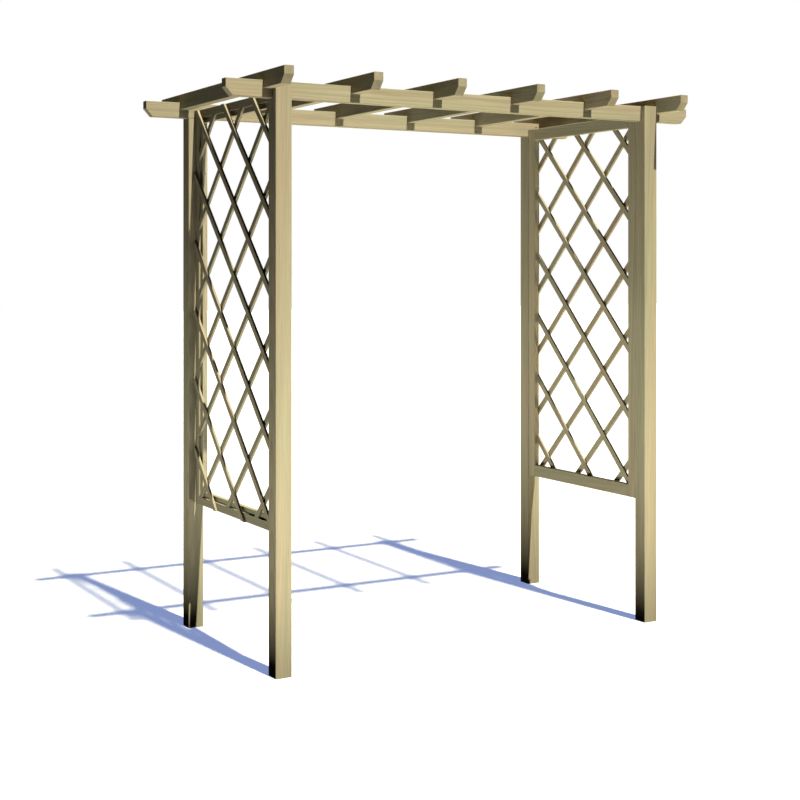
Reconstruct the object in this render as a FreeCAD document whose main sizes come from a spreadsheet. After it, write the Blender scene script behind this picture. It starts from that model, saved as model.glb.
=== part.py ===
import FreeCAD, Part
import os
import re
import Sketcher

# Garden arch: four notched posts, two beams, a row of rafters and two trellis panels, screwed together.
# X runs across the walkway, +Y to the rear, +Z up. The origin is on the ground, in the middle of the four posts.

SIZES = {
    "post_side": (61, "square section of a post"),
    "post_height": (2068, "ground to the top of the posts and beams"),
    "clear_width": (1557, "walkway between the left and right posts"),
    "clear_depth": (756, "gap between the front and rear posts"),
    "beam_height": (60, "beam section, upright"),
    "beam_thick": (36, "beam section, across; also the depth of the post notch"),
    "beam_overhang": (175, "beam end beyond the outer face of the post"),
    "rafter_count": (6, "rafters in the row"),
    "rafter_height": (60, "rafter section, upright"),
    "rafter_thick": (36, "rafter section, across"),
    "rafter_overhang": (146, "rafter end beyond the outer face of the post"),
    "nose_cut": (30, "height of the slanted lower part of a beam or rafter end"),
    "nose_run": (27, "how far that slant runs back"),
    "lap_depth": (28, "depth of the rafter notch over a beam"),
    "lap_clear": (0.5, "play on each side of the beam in the rafter notch"),
    "arris": (1.5, "eased edge on the planed timbers"),
    "panel_lift": (490, "ground to the underside of a trellis panel"),
    "panel_drop": (30, "top of the posts down to the top of a panel"),
    "panel_inset": (1.5, "inner face of a post back to the inner face of a panel"),
    "panel_fit": (0.5, "play between a stile and its post"),
    "stile_width": (47, "width of a stile"),
    "rail_width": (50, "width of a rail"),
    "frame_thick": (28, "thickness of stiles and rails"),
    "rebate_width": (20, "width of the rebate round the panel opening"),
    "tenon_length": (30, "tenon on each rail end"),
    "tenon_width": (36, "tenon, upright"),
    "tenon_thick": (9, "tenon, across"),
    "tenon_clear": (0.3, "play round a tenon in its mortise"),
    "slat_width": (22, "width of a slat"),
    "slat_thick": (8.5, "thickness of a slat; also the depth of the rebate"),
    "slat_clear": (0.5, "play between inner slat ends and the rebate"),
    "slat_angle": (45.43, "lean of the slats from level, in degrees"),
    "slat_count": (8, "slats in each layer of a panel"),
    "corner_gap": (210.5, "corner of a panel to the first slat, measured upright"),
    "screw_radius": (2.5, "shank of every screw"),
    "head_radius": (4.5, "countersunk head"),
    "head_depth": (1.8, "depth of that head"),
    "hole_clear": (0.2, "play round a screw in its hole"),
    "beam_screw_bite": (14, "beam screw in the post tongue"),
    "beam_screw_spread": (13, "half the distance between the two screws of a beam joint, both ways"),
    "panel_screw_bite": (30, "panel screw in the post"),
    "panel_screw_inset": (250, "screw of a stile to the end of the stile"),
}

# Places and lengths that follow from the sizes
POST_X = "(clear_width / 2 + post_side / 2)"
POST_Y = "(clear_depth / 2 + post_side / 2)"
BEAM_Y = "(clear_depth / 2 + beam_thick / 2)"
BEAM_Z = "(post_height - beam_height)"
BEAM_SCREW_Z = "(post_height - beam_height / 2)"
BEAM_LENGTH = "(clear_width + 2 * post_side + 2 * beam_overhang)"
RAFTER_Z = "(post_height - lap_depth)"
RAFTER_LENGTH = "(clear_depth + 2 * post_side + 2 * rafter_overhang)"
OUTER_RAFTER_X = "(clear_width / 2 + post_side + rafter_thick / 2)"
NOTCH_FLOOR = "(post_side / 2 - beam_thick)"
PANEL_X = "(clear_width / 2 + panel_inset)"
PANEL_Z = "((post_height - panel_drop + panel_lift) / 2)"
PANEL_HALF_WIDTH = "(clear_depth / 2 - panel_fit)"
PANEL_HALF_HEIGHT = "((post_height - panel_drop - panel_lift) / 2)"
OPENING_HALF_WIDTH = f"({PANEL_HALF_WIDTH} - stile_width)"
OPENING_HALF_HEIGHT = f"({PANEL_HALF_HEIGHT} - rail_width)"
REBATE_HALF_WIDTH = f"({OPENING_HALF_WIDTH} + rebate_width)"
REBATE_HALF_HEIGHT = f"({OPENING_HALF_HEIGHT} + rebate_width)"
REBATE_FLOOR = "(frame_thick - slat_thick)"
PANEL_SCREW_RISE = f"({PANEL_HALF_HEIGHT} - panel_screw_inset)"
SLAT_REACH = f"({PANEL_HALF_HEIGHT} + {PANEL_HALF_WIDTH} * tan(slat_angle) - corner_gap)"
SLAT_BLANK = f"(2 * {PANEL_HALF_WIDTH} + 2 * {PANEL_HALF_HEIGHT})"
HOLE_RADIUS = "(screw_radius + hole_clear)"
SINK_RADIUS = "(head_radius + hole_clear)"
STILE_SCREW_STEPS = (-1, 1)

doc = FreeCAD.newDocument("garden_arch")
sheet = doc.addObject("Spreadsheet::Sheet", "sizes")
for row, (alias, (number, meaning)) in enumerate(SIZES.items(), 1):
    sheet.set(f"A{row}", meaning)
    sheet.set(f"B{row}", str(number))
    sheet.setAlias(f"B{row}", alias)
doc.recompute()

ALIASES = re.compile(r"\b(" + "|".join(SIZES) + r")\b")
nodes = []


def value(text):
    """The present number of an expression in the sheet's names."""
    return float(sheet.evalExpression(text))


def bind(obj, target, text):
    """Tie a property of an object to an expression in the sheet's names."""
    obj.setExpression(target, ALIASES.sub(r"sizes.\1", text))


def place(obj, x, y, z, half_turn=False):
    """Put an object at x, y, z, turned half round about Z where asked."""
    angle = 180 if half_turn else 0
    obj.Placement = FreeCAD.Placement(FreeCAD.Vector(), FreeCAD.Rotation(FreeCAD.Vector(0, 0, 1), angle))
    bind(obj, "Placement.Base.x", x)
    bind(obj, "Placement.Base.y", y)
    bind(obj, "Placement.Base.z", z)


def node(obj, label):
    """Count an object as a sub-part under its own name."""
    obj.Label = label
    nodes.append(obj)
    return obj


def new_body(label):
    return node(doc.addObject("PartDesign::Body", label), label)


def origin_feature(body, role):
    return next(feature for feature in body.Origin.OriginFeatures if feature.Role == role)


def sketch_on(body, role, shift=("0", "0", "0")):
    """A sketch on one of the body's origin planes, its own origin shifted in that plane's x, y and normal."""
    sketch = body.newObject("Sketcher::SketchObject", f"{body.Name}_sketch")
    sketch.AttachmentSupport = [(origin_feature(body, role), "")]
    sketch.MapMode = "FlatFace"
    for axis, text in zip("xyz", shift):
        bind(sketch, f"AttachmentOffset.Base.{axis}", text)
    return sketch


def pin_point(sketch, geometry, point, place_of):
    """Fix a point of a sketch at an expression for each coordinate."""
    for kind, text in zip(("DistanceX", "DistanceY"), place_of):
        constraint = Sketcher.Constraint(kind, -1, 1, geometry, point, value(text))
        bind(sketch, f"Constraints[{sketch.addConstraint(constraint)}]", text)


def polygon(sketch, points):
    """A closed outline of straight lines through points given as pairs of expressions."""
    corners = [FreeCAD.Vector(value(a), value(b), 0) for a, b in points]
    count = len(points)
    first = sketch.GeometryCount
    for index in range(count):
        sketch.addGeometry(Part.LineSegment(corners[index], corners[(index + 1) % count]), False)
    for index in range(count):
        end = first + (index + 1) % count
        sketch.addConstraint(Sketcher.Constraint("Coincident", first + index, 2, end, 1))
    for index, corner in enumerate(points):
        pin_point(sketch, first + index, 1, corner)
    return sketch


def rectangle(sketch, low_a, high_a, low_b, high_b):
    return polygon(sketch, [(low_a, low_b), (high_a, low_b), (high_a, high_b), (low_a, high_b)])


def circle(sketch, centre, radius):
    middle = FreeCAD.Vector(value(centre[0]), value(centre[1]), 0)
    index = sketch.addGeometry(Part.Circle(middle, FreeCAD.Vector(0, 0, 1), value(radius)), False)
    pin_point(sketch, index, 3, centre)
    constraint = sketch.addConstraint(Sketcher.Constraint("Radius", index, value(radius)))
    bind(sketch, f"Constraints[{constraint}]", radius)
    return sketch


def feature(body, kind, sketch, length, symmetric=False, reverse=False):
    """A pad or a pocket of a sketch."""
    made = body.newObject(f"PartDesign::{kind}", f"{body.Name}_{kind.lower()}")
    made.Profile = sketch
    bind(made, "Length", length)
    made.SideType = "Symmetric" if symmetric else "One side"
    made.Reversed = reverse
    return made


def groove(body, sketch):
    """A round cut about the upright axis of a sketch."""
    made = body.newObject("PartDesign::Groove", f"{body.Name}_groove")
    made.Profile = sketch
    made.ReferenceAxis = (sketch, ["V_Axis"])
    made.Angle = 360
    return made


def mirrored(body, originals, role):
    made = body.newObject("PartDesign::Mirrored", f"{body.Name}_mirrored")
    made.Originals = originals
    made.MirrorPlane = (origin_feature(body, role), [""])
    body.Tip = made
    return made


def repeated(body, originals, role, span, count):
    """Equal steps along an origin axis, over a whole span."""
    made = body.newObject("PartDesign::LinearPattern", f"{body.Name}_pattern")
    made.Originals = originals
    made.Direction = (origin_feature(body, role), [""])
    bind(made, "Length", span)
    bind(made, "Occurrences", count)
    body.Tip = made
    return made


def screw_hole(sketch, mouth, end, inward):
    """Half section of a countersunk hole along the sketch's upright axis, running inward from its mouth."""
    sink = f"({mouth} + {inward} * head_depth)"
    return polygon(sketch, [("0", mouth), (SINK_RADIUS, mouth), (HOLE_RADIUS, sink), (HOLE_RADIUS, end), ("0", end)])


def nosed_bar(label, role, length, height, thick):
    """A straight timber with undercut ends and eased long edges, its underside at z = 0."""
    body = new_body(label)
    half = f"({length} / 2)"
    upright = f"({half} - nose_run)"
    side = polygon(sketch_on(body, role), [
        (f"-{upright}", "0"), (upright, "0"), (half, "nose_cut"), (half, height), (f"-{half}", height),
        (f"-{half}", "nose_cut")])
    bar = feature(body, "Pad", side, thick, symmetric=True)
    doc.recompute()
    long_edges = [f"Edge{number}" for number, edge in enumerate(bar.Shape.Edges, 1) if edge.Length > value(half)]
    eased = body.newObject("PartDesign::Chamfer", f"{body.Name}_chamfer")
    eased.Base = (bar, long_edges)
    bind(eased, "Size", "arris")
    return body


def build_post(label, x_sign, y_sign):
    """A post whose local +y side faces the other post of its pair."""
    body = new_body(label)
    place(body, f"{x_sign} * {POST_X}", f"{y_sign} * {POST_Y}", "0", half_turn=y_sign > 0)
    half = "(post_side / 2)"
    eased = f"({half} - arris)"
    section = polygon(sketch_on(body, "XY_Plane"), [
        (half, f"-{eased}"), (half, eased), (eased, half), (f"-{eased}", half),
        (f"-{half}", eased), (f"-{half}", f"-{eased}"), (f"-{eased}", f"-{half}"), (eased, f"-{half}")])
    feature(body, "Pad", section, "post_height")
    notch = rectangle(sketch_on(body, "YZ_Plane"), NOTCH_FLOOR, half, BEAM_Z, "post_height")
    feature(body, "Pocket", notch, "2 * post_side", symmetric=True)
    hand = x_sign * y_sign
    joint = sketch_on(body, "XZ_Plane", ("0", "0", f"-{NOTCH_FLOOR}"))
    for lean in (-1, 1):
        circle(joint, (f"{-hand * lean} * beam_screw_spread", f"{BEAM_SCREW_Z} + {lean} * beam_screw_spread"),
               HOLE_RADIUS)
    feature(body, "Pocket", joint, "beam_screw_bite + hole_clear", reverse=True)
    stile_side = sketch_on(body, "XZ_Plane", ("0", "0", f"-{half}"))
    for step in STILE_SCREW_STEPS:
        circle(stile_side, (f"{hand} * ({half} - panel_inset - {REBATE_FLOOR} / 2)",
                            f"{PANEL_Z} + {step} * {PANEL_SCREW_RISE}"), HOLE_RADIUS)
    feature(body, "Pocket", stile_side, "panel_screw_bite + hole_clear", reverse=True)


def build_beam(label, y_sign):
    """A beam whose local +y side faces the other beam."""
    body = nosed_bar(label, "XZ_Plane", BEAM_LENGTH, "beam_height", "beam_thick")
    place(body, "0", f"{y_sign} * {BEAM_Y}", BEAM_Z, half_turn=y_sign > 0)
    holes = []
    for lean in (-1, 1):
        shift = (f"{POST_X} + {lean} * beam_screw_spread", "0", f"beam_height / 2 + {lean} * beam_screw_spread")
        section = screw_hole(sketch_on(body, "XY_Plane", shift), "(beam_thick / 2)", "(-beam_thick / 2)", -1)
        holes.append(groove(body, section))
    mirrored(body, holes, "YZ_Plane")


def build_rafter(label, index):
    """A rafter notched over both beams."""
    body = nosed_bar(label, "YZ_Plane", RAFTER_LENGTH, "rafter_height", "rafter_thick")
    place(body, rafter_x(index), "0", RAFTER_Z)
    half = "(beam_thick / 2 + lap_clear)"
    lap = rectangle(sketch_on(body, "YZ_Plane"), f"{BEAM_Y} - {half}", f"{BEAM_Y} + {half}", "0", "lap_depth")
    notch = feature(body, "Pocket", lap, "2 * rafter_thick", symmetric=True)
    mirrored(body, [notch], "XZ_Plane")


def rafter_x(index):
    return f"({OUTER_RAFTER_X} * (2 * {index} / (rafter_count - 1) - 1))"


def seat_in_panel(obj, side):
    """Panel pieces are drawn for the right panel, x from its inner face; the left one is turned half round."""
    sign = 1 if side == "right" else -1
    place(obj, f"{sign} * {PANEL_X}", "0", PANEL_Z, half_turn=side == "left")


def build_stile(side, end, sign):
    """A stile with its rebate, a mortise for each rail and screw holes through to the post."""
    body = new_body(f"{side}_panel_{end}_stile")
    seat_in_panel(body, side)
    opening = f"({sign} * {OPENING_HALF_WIDTH})"
    shoulder = f"({sign} * {REBATE_HALF_WIDTH})"
    outer = f"({sign} * {PANEL_HALF_WIDTH})"
    section = polygon(sketch_on(body, "XY_Plane"), [
        ("0", f"{opening} + {sign} * arris"), ("arris", opening), (REBATE_FLOOR, opening), (REBATE_FLOOR, shoulder),
        ("frame_thick", shoulder), ("frame_thick", outer), ("arris", outer), ("0", f"{outer} - {sign} * arris")])
    feature(body, "Pad", section, f"2 * {PANEL_HALF_HEIGHT}", symmetric=True)
    middle = f"({REBATE_FLOOR} / 2)"
    rail_middle = f"({PANEL_HALF_HEIGHT} - rail_width / 2)"
    half_thick = "(tenon_thick / 2 + tenon_clear)"
    half_width = "(tenon_width / 2 + tenon_clear)"
    slot = rectangle(sketch_on(body, "XZ_Plane", ("0", "0", f"-{opening}")), f"{middle} - {half_thick}",
                     f"{middle} + {half_thick}", f"{rail_middle} - {half_width}", f"{rail_middle} + {half_width}")
    mortise = feature(body, "Pocket", slot, "tenon_length + tenon_clear", reverse=sign < 0)
    mirrored(body, [mortise], "XY_Plane")
    section = screw_hole(sketch_on(body, "XY_Plane", (middle, "0", f"-{PANEL_SCREW_RISE}")), opening, outer, sign)
    hole = groove(body, section)
    repeated(body, [hole], "Z_Axis", f"2 * {PANEL_SCREW_RISE}", str(len(STILE_SCREW_STEPS)))


def build_rail(side, end, sign):
    """A rail between the stiles: its lip runs on into their rebates and its tenons into their mortises."""
    body = new_body(f"{side}_panel_{end}_rail")
    seat_in_panel(body, side)
    opening = f"({sign} * {OPENING_HALF_HEIGHT})"
    shoulder = f"({sign} * {REBATE_HALF_HEIGHT})"
    outer = f"({sign} * {PANEL_HALF_HEIGHT})"
    section = polygon(sketch_on(body, "XZ_Plane"), [
        ("0", f"{opening} + {sign} * arris"), ("arris", opening), (REBATE_FLOOR, opening), (REBATE_FLOOR, outer),
        ("arris", outer), ("0", f"{outer} - {sign} * arris")])
    feature(body, "Pad", section, f"2 * {OPENING_HALF_WIDTH}", symmetric=True)
    lip = rectangle(sketch_on(body, "XZ_Plane"), REBATE_FLOOR, "frame_thick", shoulder, outer)
    feature(body, "Pad", lip, f"2 * {REBATE_HALF_WIDTH}", symmetric=True)
    middle = f"({REBATE_FLOOR} / 2)"
    rail_middle = f"({sign} * ({PANEL_HALF_HEIGHT} - rail_width / 2))"
    tenon = rectangle(sketch_on(body, "XZ_Plane"), f"{middle} - tenon_thick / 2", f"{middle} + tenon_thick / 2",
                      f"{rail_middle} - tenon_width / 2", f"{rail_middle} + tenon_width / 2")
    feature(body, "Pad", tenon, f"2 * ({OPENING_HALF_WIDTH} + tenon_length)", symmetric=True)


def box(name, thick, width, height, x, y, z):
    made = doc.addObject("Part::Box", name)
    bind(made, "Length", thick)
    bind(made, "Width", width)
    bind(made, "Height", height)
    bind(made, "Placement.Base.x", x)
    bind(made, "Placement.Base.y", y)
    bind(made, "Placement.Base.z", z)
    return made


def slat_offsets():
    """Heights at which the slats cross a panel's upright middle line, in even steps from corner to corner."""
    count = round(value("slat_count"))
    return [f"{SLAT_REACH} * (2 * {index} / (slat_count - 1) - 1)" for index in range(count)]


def build_slats(side, layer, floor, half_width, half_height, lean):
    """One layer of parallel slats, each a straight strip trimmed to the layer's rectangle."""
    trim = box(f"{side}_{layer}_trim", "3 * slat_thick", f"2 * {half_width}", f"2 * {half_height}",
               f"{floor} - slat_thick", f"-{half_width}", f"-{half_height}")
    angle = f"({lean} * slat_angle)"
    for number, offset in enumerate(slat_offsets(), 1):
        back_y = f"-({SLAT_BLANK} / 2 * cos({angle}) - slat_width / 2 * sin({angle}))"
        back_z = f"{offset} - ({SLAT_BLANK} / 2 * sin({angle}) + slat_width / 2 * cos({angle}))"
        strip = box(f"{side}_{layer}_strip_{number}", "slat_thick", SLAT_BLANK, "slat_width", floor, back_y, back_z)
        strip.Placement = FreeCAD.Placement(FreeCAD.Vector(), FreeCAD.Rotation(FreeCAD.Vector(1, 0, 0), 45))
        bind(strip, "Placement.Rotation.Angle", angle)
        slat = doc.addObject("Part::Common", f"{side}_panel_{layer}_slat_{number}")
        slat.Base = strip
        slat.Tool = trim
        seat_in_panel(slat, side)
        node(slat, f"{side}_panel_{layer}_slat_{number}")


def screw(name, grip, bite):
    """A countersunk screw about Z, its head's face at z = 0, reaching through the grip and into the bite."""
    body = doc.addObject("PartDesign::Body", name)
    tip = f"-({grip} + {bite})"
    half_section = polygon(sketch_on(body, "XZ_Plane"), [
        ("0", "0"), ("head_radius", "0"), ("screw_radius", "-head_depth"), ("screw_radius", tip), ("0", tip)])
    turned = body.newObject("PartDesign::Revolution", f"{name}_turned")
    turned.Profile = half_section
    turned.ReferenceAxis = (half_section, ["V_Axis"])
    turned.Angle = 360
    return body


def screw_group(label, master, seats):
    """Copies of a screw, each at x, y, z and turned about X, as one node of separate solids."""
    copies = []
    for number, (x, y, z, turn) in enumerate(seats, 1):
        copy = doc.addObject("App::Link", f"{label}_{number}")
        copy.LinkedObject = master
        copy.Placement = FreeCAD.Placement(FreeCAD.Vector(), FreeCAD.Rotation(FreeCAD.Vector(1, 0, 0), turn))
        bind(copy, "Placement.Base.x", x)
        bind(copy, "Placement.Base.y", y)
        bind(copy, "Placement.Base.z", z)
        copies.append(copy)
    group = doc.addObject("Part::Compound", label)
    group.Links = copies
    node(group, label)


for y_name, y_sign in (("front", -1), ("rear", 1)):
    for x_name, x_sign in (("left", -1), ("right", 1)):
        build_post(f"{y_name}_{x_name}_post", x_sign, y_sign)
    build_beam(f"{y_name}_beam", y_sign)

for index in range(round(value("rafter_count"))):
    build_rafter(f"rafter_{index + 1}", index)

for side in ("left", "right"):
    front_sign = -1 if side == "right" else 1
    build_stile(side, "front", front_sign)
    build_stile(side, "rear", -front_sign)
    build_rail(side, "bottom", -1)
    build_rail(side, "top", 1)
    build_slats(side, "inner", REBATE_FLOOR, f"({REBATE_HALF_WIDTH} - slat_clear)",
                f"({REBATE_HALF_HEIGHT} - slat_clear)", 1)
    build_slats(side, "outer", "frame_thick", PANEL_HALF_WIDTH, PANEL_HALF_HEIGHT, -1)

beam_screw = screw("beam_screw", "beam_thick", "beam_screw_bite")
screw_group("beam_screws", beam_screw, [
    (f"{x_sign} * ({POST_X} + {lean} * beam_screw_spread)", f"{y_sign} * clear_depth / 2",
     f"{BEAM_SCREW_Z} + {lean} * beam_screw_spread", 90 * y_sign)
    for x_sign in (-1, 1) for y_sign in (-1, 1) for lean in (-1, 1)])

panel_screw = screw("panel_screw", "(stile_width + panel_fit)", "panel_screw_bite")
for side, x_sign in (("left", -1), ("right", 1)):
    screw_group(f"{side}_panel_screws", panel_screw, [
        (f"{x_sign} * ({PANEL_X} + {REBATE_FLOOR} / 2)", f"{y_sign} * {OPENING_HALF_WIDTH}",
         f"{PANEL_Z} + {step} * {PANEL_SCREW_RISE}", 90 * y_sign)
        for y_sign in (-1, 1) for step in STILE_SCREW_STEPS])

doc.recompute()

failed = [obj.Name for obj in doc.Objects if "Invalid" in obj.State or "Error" in obj.State]
failed += [obj.Label for obj in nodes if obj.Shape.isNull() or not obj.Shape.isValid()]
if failed:
    raise RuntimeError("failed objects: " + ", ".join(failed))

os.makedirs("parts", exist_ok=True)
for obj in nodes:
    obj.Shape.exportStep(f"parts/{obj.Label}.step")
    print(obj.Label, len(obj.Shape.Solids), round(obj.Shape.Volume))
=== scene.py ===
import math
import random

import bmesh
import bpy
from mathutils import Matrix, Vector

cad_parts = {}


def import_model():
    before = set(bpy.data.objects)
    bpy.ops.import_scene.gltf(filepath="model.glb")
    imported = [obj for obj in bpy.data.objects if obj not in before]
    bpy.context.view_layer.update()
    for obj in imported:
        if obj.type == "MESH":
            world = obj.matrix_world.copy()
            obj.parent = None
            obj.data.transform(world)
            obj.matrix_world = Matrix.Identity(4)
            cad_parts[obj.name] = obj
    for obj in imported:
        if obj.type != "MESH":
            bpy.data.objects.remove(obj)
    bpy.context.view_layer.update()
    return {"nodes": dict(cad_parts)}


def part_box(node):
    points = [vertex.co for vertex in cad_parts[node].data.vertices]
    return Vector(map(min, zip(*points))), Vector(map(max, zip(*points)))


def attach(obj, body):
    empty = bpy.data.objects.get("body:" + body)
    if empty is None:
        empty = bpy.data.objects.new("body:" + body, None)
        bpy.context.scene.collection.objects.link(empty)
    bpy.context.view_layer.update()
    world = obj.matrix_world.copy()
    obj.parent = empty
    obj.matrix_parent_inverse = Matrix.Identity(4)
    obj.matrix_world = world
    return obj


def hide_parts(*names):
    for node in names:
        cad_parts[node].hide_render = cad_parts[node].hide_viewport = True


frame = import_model()

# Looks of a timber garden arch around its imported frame. Lengths are in metres.

# Photograph's camera: level, with the view dropped by a shift
CAMERA_PLACE = (-2.931, -4.990, 1.419)
CAMERA_TILT = math.radians(90.0)
CAMERA_TURN = math.radians(-29.587)
CAMERA_LENS = 65.14
CAMERA_DROP = -0.1651

# Sun from the front: strength, width in degrees, and how often timbers pass its light on
SUN_PLACE = (0.0, -4.0, 4.0)
SUN_TRAVEL = (-0.058, 0.568, -1.0)
SUNS = {
    "arch_sun": (2.1, 0.6, 0),
    "passed_sun": (2.6, 0.6, 1),
    "floor_sun": (6.2, 1.5, 0)}
SKY_COLOUR = (0.006, 0.0065, 0.010)
WHITE = (1.0, 1.0, 1.0)

# Low panels that stand for light off the floor: left, right, near and far edge, height, radiance, colour
PANEL_PLAIN = (1.0, 1.0, 1.0)
PANEL_COOL = (0.93, 1.0, 1.08)
PANEL_WARM = (1.06, 1.0, 0.82)
PANELS = {
    "front_panel": (-1.25, 1.14, -1.80, -1.13, 0.02, 4.9, PANEL_PLAIN),
    "rear_panel": (-1.22, 0.47, 1.25, 2.17, 0.045, 6.2, PANEL_PLAIN),
    "left_panel": (-1.75, -1.49, -0.85, 0.77, 0.045, 8.4, PANEL_COOL),
    "right_panel": (1.58, 2.90, -0.85, 0.16, 0.05, 10.0, PANEL_WARM),
    "middle_panel": (-0.26, 0.00, -1.05, 0.60, 0.045, 8.2, PANEL_COOL)}

# Soft lamp behind the arch, for the sides that the photograph does not show
FILL_PLACE = Vector((2.6, 3.4, 3.0))
FILL_AIM = Vector((0.0, 0.0, 0.9))
FILL_SIZE = 2.0
FILL_RADIANCE = 8.0

# Floor as the camera sees it: white in the sun, blue in the shade
FLOOR_HALF = 40.0
FLOOR_DROP = 0.0005
FLOOR_SUNLIT = (0.84, 0.78, 0.54)
FLOOR_SHADE = (0.215, 0.285, 0.540)
FLOOR_BOUNCE = (0.01, 0.01, 0.01)

# Planed softwood, pressure treated: the two woods of a growth ring, and where late wood starts and stops
EARLY_WOOD = (0.576, 0.497, 0.284)
LATE_WOOD = (0.507, 0.425, 0.233)
RING_WIDTH = 0.0045
LATE_RISE = (0.35, 0.85)
LATE_FALL = (0.9, 1.0)

# Place of a timber in its log, how far its tone may stray, and the share of X that makes it lie along X
PITH_NEAR = 0.022
PITH_FAR = 0.075
LOG_LENGTH = 40.0
TONE_SPREAD = 0.05
LIES_ALONG = 0.5

# Noise in the wood: waves per metre along the grain and both ways across it, and levels of detail
PITH_SWAYS = (((0.6, 3.0, 3.0), 0.014), ((4.0, 40.0, 40.0), 0.0016))
SWAY_DETAIL = 2.0
FIBRE_WAVES = (4.0, 170.0, 170.0)
FIBRE_DETAIL = 4.0
FIBRE_ROUGHNESS = 0.65
BROAD_WAVES = (0.55, 42.0, 42.0)
BROAD_DETAIL = 2.0
TINT_WAVES = (1.1, 16.0, 16.0)
TINT_DETAIL = 3.0
NOISE_MIDDLE = (0.5, 0.5, 0.5)

# What the noise does: the span of it that counts, and the shade, tint, roughness and relief it gives
SHADE_SPAN = (0.25, 0.75)
FIBRE_SHADES = (0.87, 1.13)
BROAD_SHADES = (0.89, 1.11)
TINT_SPAN = (0.35, 0.65)
PINK_TINT = (1.06, 0.98, 0.98)
GREEN_TINT = (0.96, 1.0, 0.97)
ROUGH_SPAN = (0.2, 0.8)
ROUGHNESSES = (0.56, 0.74)
LATE_RELIEF = 0.5
RELIEF_STRENGTH = 0.3
RELIEF_HEIGHT = 0.0005

# End grain, told by how far a face points along the timber
END_SPAN = (0.5, 0.9)
END_SHADES = (1.0, 0.92)

# Passivated zinc on steel
ZINC_DARK = (0.36, 0.32, 0.20)
ZINC_PALE = (0.56, 0.52, 0.38)
ZINC_WAVES = 420.0
ZINC_DETAIL = 3.0
ZINC_SPAN = (0.3, 0.7)
ZINC_ROUGHNESSES = (0.32, 0.52)

# Screws
HEAD_RADIUS = 0.0045
HEAD_DEPTH = 0.0018
HEAD_RIM = 0.00018
HEAD_PROUD = 0.0003
SHANK_RADIUS = 0.0025
TIP_RADIUS = 0.00025
TIP_LENGTH = 0.005
STAR_LOBES = 6
STAR_STEPS = 6
STAR_RADIUS = 0.0021
STAR_FOOT_RADIUS = 0.00189
STAR_SWELL = 0.16
STAR_DEPTH = 0.0016
RAFTER_SCREW_LENGTH = 0.070
SCREW_NODES = ("beam_screws", "left_panel_screws", "right_panel_screws")
WELD_REACH = 1e-5

# Staples
STAPLE_CROWN = 0.010
STAPLE_LEG = 0.006
STAPLE_WIRE = 0.0006
STAPLE_SIDES = 8

ALONG_X = Vector((1.0, 0.0, 0.0))
ALONG_Y = Vector((0.0, 1.0, 0.0))
UP = Vector((0.0, 0.0, 1.0))
DOWN = Vector((0.0, 0.0, -1.0))
FULL_TURN = 2.0 * math.pi
ROOT = "root"
SEED = 11
draw = random.Random(SEED)


# Shader node helpers
def add_node(tree, kind, inputs=None, **settings):
    """A node with its settings, each input given as a socket to link or a value to set."""
    made = tree.nodes.new(kind)
    for name, setting in settings.items():
        setattr(made, name, setting)
    for key, source in (inputs or {}).items():
        if isinstance(source, bpy.types.NodeSocket):
            tree.links.new(source, made.inputs[key])
        else:
            made.inputs[key].default_value = source
    return made


def maths(tree, operation, *terms):
    return add_node(tree, "ShaderNodeMath", dict(enumerate(terms)), operation=operation).outputs[0]


def vectors(tree, operation, *terms):
    made = add_node(tree, "ShaderNodeVectorMath", dict(enumerate(terms)), operation=operation)
    return made.outputs["Value" if operation == "LENGTH" else "Vector"]


def scaled(tree, vector, factor):
    inputs = {0: vector, "Scale": factor}
    return add_node(tree, "ShaderNodeVectorMath", inputs, operation="SCALE").outputs[0]


def mapped(tree, source, span, reach=(0.0, 1.0)):
    """A number carried from one span to another, held at the ends."""
    inputs = {
        "Value": source, "From Min": span[0], "From Max": span[1],
        "To Min": reach[0], "To Max": reach[1]}
    return add_node(tree, "ShaderNodeMapRange", inputs).outputs["Result"]


def opaque(colour):
    return colour + (1.0,)


def mixed(tree, factor, one, two):
    """A colour between two others, from the one output of a mix node that is a colour."""
    inputs = {"Factor": factor, "A": opaque(one), "B": opaque(two)}
    mix = add_node(tree, "ShaderNodeMix", inputs, data_type="RGBA")
    return next(output for output in mix.outputs if output.type == "RGBA")


def streaks(tree, place, waves, detail, roughness=0.5):
    """Noise drawn out along the grain."""
    stretched = vectors(tree, "MULTIPLY", place, waves)
    inputs = {"Vector": stretched, "Scale": 1.0, "Detail": detail, "Roughness": roughness}
    return add_node(tree, "ShaderNodeTexNoise", inputs).outputs


def new_material(name):
    material = bpy.data.materials.new(name)
    material.use_nodes = True
    material.node_tree.nodes.clear()
    return material, material.node_tree


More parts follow.
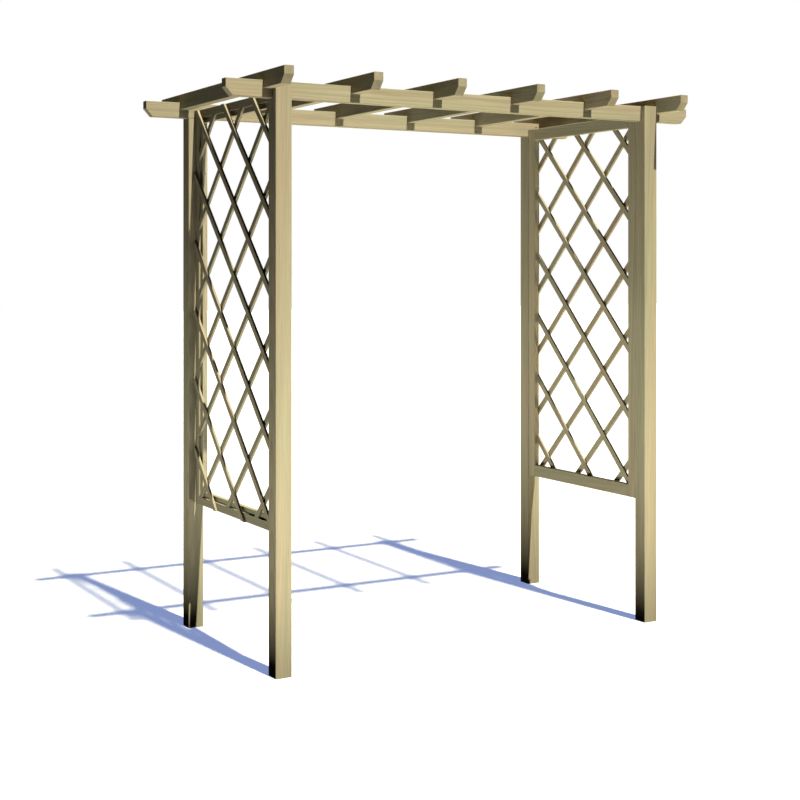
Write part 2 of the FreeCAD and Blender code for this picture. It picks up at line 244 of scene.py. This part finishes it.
# Timber
def timber_grain():
    """Growth rings round a wandering pith, fibres and tints, in a space whose x runs along the grain."""
    tree = bpy.data.node_groups.new("timber_grain", "ShaderNodeTree")
    for name, kind in (("Place", "Vector"), ("Facing", "Vector"), ("Tone", "Float")):
        tree.interface.new_socket(name, in_out="INPUT", socket_type=f"NodeSocket{kind}")
    for name, kind in (("Colour", "Color"), ("Roughness", "Float"), ("Height", "Float")):
        tree.interface.new_socket(name, in_out="OUTPUT", socket_type=f"NodeSocket{kind}")
    given = tree.nodes.new("NodeGroupInput").outputs
    place = given["Place"]

    wander = place
    for waves, sway in PITH_SWAYS:
        noise = streaks(tree, place, waves, SWAY_DETAIL)["Color"]
        aside = vectors(tree, "SUBTRACT", noise, NOISE_MIDDLE)
        wander = vectors(tree, "ADD", wander, vectors(tree, "MULTIPLY", aside, (0.0, sway, sway)))
    from_pith = vectors(tree, "LENGTH", vectors(tree, "MULTIPLY", wander, (0.0, 1.0, 1.0)))
    ring = maths(tree, "FRACT", maths(tree, "DIVIDE", from_pith, RING_WIDTH))
    falling = mapped(tree, ring, LATE_FALL, (1.0, 0.0))
    late = maths(tree, "MULTIPLY", mapped(tree, ring, LATE_RISE), falling)

    fibre = streaks(tree, place, FIBRE_WAVES, FIBRE_DETAIL, FIBRE_ROUGHNESS)["Fac"]
    broad = streaks(tree, place, BROAD_WAVES, BROAD_DETAIL)["Fac"]
    tint = streaks(tree, place, TINT_WAVES, TINT_DETAIL)["Fac"]
    lengthwise = add_node(tree, "ShaderNodeSeparateXYZ", {0: given["Facing"]}).outputs["X"]

    shade = maths(tree, "MULTIPLY", mapped(tree, fibre, SHADE_SPAN, FIBRE_SHADES),
                  mapped(tree, broad, SHADE_SPAN, BROAD_SHADES))
    end_shade = mapped(tree, maths(tree, "ABSOLUTE", lengthwise), END_SPAN, END_SHADES)
    shade = maths(tree, "MULTIPLY", shade, end_shade)
    shade = maths(tree, "MULTIPLY", shade, given["Tone"])
    wood = mixed(tree, late, EARLY_WOOD, LATE_WOOD)
    hue = mixed(tree, mapped(tree, tint, TINT_SPAN), PINK_TINT, GREEN_TINT)
    colour = scaled(tree, vectors(tree, "MULTIPLY", wood, hue), shade)
    relief = maths(tree, "ADD", maths(tree, "MULTIPLY", late, LATE_RELIEF), fibre)

    result = tree.nodes.new("NodeGroupOutput").inputs
    tree.links.new(colour, result["Colour"])
    tree.links.new(mapped(tree, fibre, ROUGH_SPAN, ROUGHNESSES), result["Roughness"])
    tree.links.new(relief, result["Height"])
    return tree


def longest_edge(mesh):
    """Direction of a timber: that of the longest edge of its mesh."""
    def run(edge):
        start, stop = edge.vertices
        return mesh.vertices[stop].co - mesh.vertices[start].co

    return max((run(edge) for edge in mesh.edges), key=lambda step: step.length).normalized()


def timber_material(name, grain_group):
    """Wood of one piece: its own place in the log, its own tone, and the grain along its length."""
    material, tree = new_material(name)
    low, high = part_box(name)
    along = longest_edge(frame["nodes"][name].data)
    side = ALONG_X if abs(along.x) < LIES_ALONG else ALONG_Y
    turn = Matrix((along, side, along.cross(side)))
    pith_angle = draw.uniform(0.0, FULL_TURN)
    pith = draw.uniform(PITH_NEAR, PITH_FAR)
    along_log = draw.uniform(0.0, LOG_LENGTH)
    log_place = Vector((along_log, pith * math.cos(pith_angle), pith * math.sin(pith_angle)))
    log_place -= turn @ ((low + high) / 2.0)
    source = tree.nodes.new("ShaderNodeTexCoord").outputs
    into_log = {"Vector": source["Object"], "Location": log_place, "Rotation": turn.to_euler()}
    place = add_node(tree, "ShaderNodeMapping", into_log, vector_type="POINT")
    turned = {"Vector": source["Normal"], "Rotation": turn.to_euler()}
    facing = add_node(tree, "ShaderNodeMapping", turned, vector_type="VECTOR")
    grain = add_node(tree, "ShaderNodeGroup", node_tree=grain_group)
    tree.links.new(place.outputs[0], grain.inputs["Place"])
    tree.links.new(facing.outputs[0], grain.inputs["Facing"])
    grain.inputs["Tone"].default_value = draw.uniform(1.0 - TONE_SPREAD, 1.0 + TONE_SPREAD)
    bump = add_node(tree, "ShaderNodeBump", {
        "Height": grain.outputs["Height"], "Strength": RELIEF_STRENGTH, "Distance": RELIEF_HEIGHT})
    shader = add_node(tree, "ShaderNodeBsdfPrincipled", {
        "Base Color": grain.outputs["Colour"], "Roughness": grain.outputs["Roughness"],
        "Normal": bump.outputs["Normal"], "Specular IOR Level": 0.0})
    add_node(tree, "ShaderNodeOutputMaterial", {"Surface": shader.outputs[0]})
    return material


# Metal
def plated_steel():
    """Passivated zinc on steel: a dull straw grey with cloudy patches."""
    material, tree = new_material("plated_steel")
    place = tree.nodes.new("ShaderNodeTexCoord").outputs["Object"]
    clouds = {"Vector": place, "Scale": ZINC_WAVES, "Detail": ZINC_DETAIL}
    cloud = add_node(tree, "ShaderNodeTexNoise", clouds).outputs["Fac"]
    shader = add_node(tree, "ShaderNodeBsdfPrincipled", {
        "Base Color": mixed(tree, cloud, ZINC_DARK, ZINC_PALE),
        "Roughness": mapped(tree, cloud, ZINC_SPAN, ZINC_ROUGHNESSES), "Metallic": 1.0})
    add_node(tree, "ShaderNodeOutputMaterial", {"Surface": shader.outputs[0]})
    return material


# Fasteners
def loft(bm, rings):
    """Quads between neighbouring rings of equally many vertices, and a face over each end."""
    for one, two in zip(rings, rings[1:]):
        count = len(one)
        for index in range(count):
            after = (index + 1) % count
            bm.faces.new((one[index], one[after], two[after], two[index]))
    bm.faces.new(tuple(reversed(rings[0])))
    bm.faces.new(tuple(rings[-1]))


def add_screw(bm, head, inward, length):
    """A countersunk screw with a star recess: head is the middle of its face, inward its direction."""
    turn = DOWN.rotation_difference(inward).to_matrix()
    count = STAR_LOBES * STAR_STEPS
    angles = [FULL_TURN * index / count for index in range(count)]

    def ring(radius, height, swell=0.0):
        made = []
        for angle in angles:
            reach = radius * (1.0 + swell * math.cos(STAR_LOBES * angle))
            spot = Vector((reach * math.cos(angle), reach * math.sin(angle), height))
            made.append(bm.verts.new(head + turn @ spot))
        return made

    loft(bm, [
        ring(TIP_RADIUS, -length),
        ring(SHANK_RADIUS, TIP_LENGTH - length),
        ring(SHANK_RADIUS, -HEAD_DEPTH),
        ring(HEAD_RADIUS, -HEAD_RIM),
        ring(HEAD_RADIUS, 0.0),
        ring(STAR_RADIUS, 0.0, STAR_SWELL),
        ring(STAR_FOOT_RADIUS, -STAR_DEPTH, STAR_SWELL)])


def finish_piece(bm, name, material):
    """A mesh piece of the arch from a bmesh."""
    bmesh.ops.recalc_face_normals(bm, faces=bm.faces)
    mesh = bpy.data.meshes.new(name)
    bm.to_mesh(mesh)
    bm.free()
    piece = bpy.data.objects.new(name, mesh)
    bpy.context.scene.collection.objects.link(piece)
    mesh.materials.append(material)
    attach(piece, ROOT)
    return piece


def islands(mesh):
    """The vertex places of each separate solid of a mesh."""
    bm = bmesh.new()
    bm.from_mesh(mesh)
    bmesh.ops.remove_doubles(bm, verts=bm.verts, dist=WELD_REACH)
    reached = set()
    groups = []
    for start in bm.verts:
        if start in reached:
            continue
        reached.add(start)
        queue = [start]
        group = []
        while queue:
            vert = queue.pop()
            group.append(vert.co.copy())
            for edge in vert.link_edges:
                other = edge.other_vert(vert)
                if other not in reached:
                    reached.add(other)
                    queue.append(other)
        groups.append(group)
    bm.free()
    return groups


def detailed_screws(node, material):
    """Screws with star recesses in the places of a node's plain ones, which all run along Y."""
    bm = bmesh.new()
    for group in islands(frame["nodes"][node].data):
        middle = sum(group, Vector()) / len(group)
        widest = max(group, key=lambda spot: (spot - middle).cross(ALONG_Y).length)
        axis_x = (min(spot.x for spot in group) + max(spot.x for spot in group)) / 2.0
        axis_z = (min(spot.z for spot in group) + max(spot.z for spot in group)) / 2.0
        ends = sorted((spot.y for spot in group), key=lambda y: abs(y - widest.y))
        inward = Vector((0.0, math.copysign(1.0, ends[-1] - ends[0]), 0.0))
        add_screw(bm, Vector((axis_x, ends[0], axis_z)), inward, abs(ends[-1] - ends[0]))
    piece = finish_piece(bm, f"{node}_detailed", material)
    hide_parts(node)


def rafter_screws(material):
    """A screw down through each rafter where it laps a beam."""
    bm = bmesh.new()
    for rafter in (name for name in frame["nodes"] if name.startswith("rafter_")):
        low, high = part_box(rafter)
        for beam in ("front_beam", "rear_beam"):
            beam_low, beam_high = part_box(beam)
            across = (low.x + high.x) / 2.0
            lap = (beam_low.y + beam_high.y) / 2.0
            add_screw(bm, Vector((across, lap, high.z + HEAD_PROUD)), DOWN, RAFTER_SCREW_LENGTH)
    finish_piece(bm, "rafter_screws", material)


def slat_line(node):
    """Middle and direction of a slat, in Y and Z, and half its length."""
    low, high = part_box(node)
    along = longest_edge(frame["nodes"][node].data)
    reach = min((high.y - low.y) / abs(along.y), (high.z - low.z) / abs(along.z)) / 2.0
    return (low + high) / 2.0, along, reach


def layer_lines(side, layer):
    """The line of each slat in one layer of a panel."""
    start = f"{side}_panel_{layer}_slat"
    return [slat_line(name) for name in frame["nodes"] if name.startswith(start)]


def crossings(side):
    """Places where an outer slat crosses an inner one, and the direction of the outer slat."""
    inner_lines = layer_lines(side, "inner")
    for outer, along, reach in layer_lines(side, "outer"):
        for inner, lean, inner_reach in inner_lines:
            apart = inner - outer
            scale = along.y * lean.z - along.z * lean.y
            step = (apart.y * lean.z - apart.z * lean.y) / scale
            inner_step = (apart.y * along.z - apart.z * along.y) / scale
            if abs(step) < reach and abs(inner_step) < inner_reach:
                yield outer + along * step, along


def add_staple(bm, middle, along, outward):
    """A staple's crown of round wire lying on a slat, its two legs driven in."""
    half = STAPLE_CROWN / 2.0
    across = along.cross(outward)
    path = [(-half, -STAPLE_LEG), (-half, 0.0), (half, 0.0), (half, -STAPLE_LEG)]
    leans = [(1.0, 0.0), (1.0, 1.0), (-1.0, 1.0), (-1.0, 0.0)]
    rings = []
    for (run, rise), (lean_run, lean_rise) in zip(path, leans):
        spot = middle + along * run + outward * rise
        spread = along * lean_run + outward * lean_rise
        ring = []
        for index in range(STAPLE_SIDES):
            angle = FULL_TURN * index / STAPLE_SIDES
            off_axis = spread * math.cos(angle) + across * math.sin(angle)
            ring.append(bm.verts.new(spot + STAPLE_WIRE * off_axis))
        rings.append(ring)
    loft(bm, rings)


def panel_staples(side, outward, material):
    """A staple at each crossing of the slats, driven from the outer face."""
    bm = bmesh.new()
    # Any slat of the outer layer tells where the outer face lies
    low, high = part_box(f"{side}_panel_outer_slat_4")
    face_x = high.x if outward.x > 0.0 else low.x
    for middle, along in crossings(side):
        add_staple(bm, Vector((face_x, middle.y, middle.z)), along, outward)
    finish_piece(bm, f"{side}_panel_staples", material)


# Stage
def seen_directly(tree):
    """One for rays that show a surface by sight, mirror or glass, and none for light on its way."""
    path = tree.nodes.new("ShaderNodeLightPath").outputs
    mirror = maths(tree, "MAXIMUM", path["Is Glossy Ray"], path["Is Transmission Ray"])
    return maths(tree, "MAXIMUM", path["Is Camera Ray"], mirror)


def floor():
    material, tree = new_material("floor")
    sunlit = add_node(tree, "ShaderNodeBsdfDiffuse", {"Color": opaque(FLOOR_SUNLIT)}).outputs[0]
    shade = add_node(tree, "ShaderNodeEmission", {"Color": opaque(FLOOR_SHADE)}).outputs[0]
    shown = add_node(tree, "ShaderNodeAddShader", {0: sunlit, 1: shade}).outputs[0]
    bounce = add_node(tree, "ShaderNodeBsdfDiffuse", {"Color": opaque(FLOOR_BOUNCE)}).outputs[0]
    mix = add_node(tree, "ShaderNodeMixShader", {0: seen_directly(tree), 1: bounce, 2: shown})
    add_node(tree, "ShaderNodeOutputMaterial", {"Surface": mix.outputs[0]})
    mesh = bpy.data.meshes.new("floor")
    signs = ((-1, -1), (1, -1), (1, 1), (-1, 1))
    corners = [(x * FLOOR_HALF, y * FLOOR_HALF, -FLOOR_DROP) for x, y in signs]
    mesh.from_pydata(corners, [], [(0, 1, 2, 3)])
    mesh.materials.append(material)
    ground = bpy.data.objects.new("floor", mesh)
    bpy.context.scene.collection.objects.link(ground)


def world():
    made = bpy.data.worlds.new("studio")
    made.use_nodes = True
    tree = made.node_tree
    tree.nodes.clear()
    dim = add_node(tree, "ShaderNodeBackground", {"Color": opaque(SKY_COLOUR)}).outputs[0]
    white = add_node(tree, "ShaderNodeBackground", {"Color": opaque(WHITE)}).outputs[0]
    mix = add_node(tree, "ShaderNodeMixShader", {0: seen_directly(tree), 1: dim, 2: white})
    add_node(tree, "ShaderNodeOutputWorld", {"Surface": mix.outputs[0]})
    bpy.context.scene.world = made


def add_lamp(name, kind, place, facing):
    """A lamp at a place, shining along a direction."""
    lamp = bpy.data.lights.new(name, kind)
    holder = bpy.data.objects.new(name, lamp)
    holder.location = place
    holder.rotation_euler = Vector(facing).to_track_quat("-Z", "Y").to_euler()
    holder.visible_camera = False
    bpy.context.scene.collection.objects.link(holder)
    return lamp


def link_floor(name, state):
    """Have a lamp light the floor alone, or all but the floor."""
    receivers = bpy.data.collections.new(name)
    receivers.objects.link(bpy.data.objects["floor"])
    receivers.collection_objects[0].light_linking.link_state = state
    bpy.data.objects[name].light_linking.receiver_collection = receivers


def area_lamp(name, place, facing, width, depth, radiance):
    """A flat lamp of a given radiance, whose light timbers do not pass on and mirrors do not show."""
    lamp = add_lamp(name, "AREA", place, facing)
    lamp.shape = "RECTANGLE"
    lamp.size = width
    lamp.size_y = depth
    lamp.energy = radiance * math.pi * width * depth
    lamp.cycles.max_bounces = 0
    bpy.data.objects[name].visible_glossy = False
    return lamp


def lights():
    for name, (strength, width, passes) in SUNS.items():
        sun = add_lamp(name, "SUN", SUN_PLACE, SUN_TRAVEL)
        sun.energy = strength
        sun.angle = math.radians(width)
        sun.cycles.max_bounces = passes
        link_floor(name, "INCLUDE" if name == "floor_sun" else "EXCLUDE")
    for name, (left, right, near, far, height, radiance, colour) in PANELS.items():
        middle = ((left + right) / 2.0, (near + far) / 2.0, height)
        area_lamp(name, middle, UP, right - left, far - near, radiance).color = colour
    area_lamp("fill", FILL_PLACE, FILL_AIM - FILL_PLACE, FILL_SIZE, FILL_SIZE, FILL_RADIANCE)
    link_floor("fill", "EXCLUDE")


def camera():
    lens = bpy.data.cameras.new("camera")
    lens.lens = CAMERA_LENS
    lens.shift_y = CAMERA_DROP
    holder = bpy.data.objects.new("camera", lens)
    holder.location = CAMERA_PLACE
    holder.rotation_euler = (CAMERA_TILT, 0.0, CAMERA_TURN)
    bpy.context.scene.collection.objects.link(holder)
    bpy.context.scene.camera = holder


grain_group = timber_grain()
for name, obj in sorted(frame["nodes"].items()):
    if name not in SCREW_NODES:
        obj.data.materials.clear()
        obj.data.materials.append(timber_material(name, grain_group))

steel = plated_steel()
for node in SCREW_NODES:
    detailed_screws(node, steel)
rafter_screws(steel)
panel_staples("left", -ALONG_X, steel)
panel_staples("right", ALONG_X, steel)

floor()
world()
lights()
camera()
bpy.context.scene.view_settings.view_transform = "Standard"
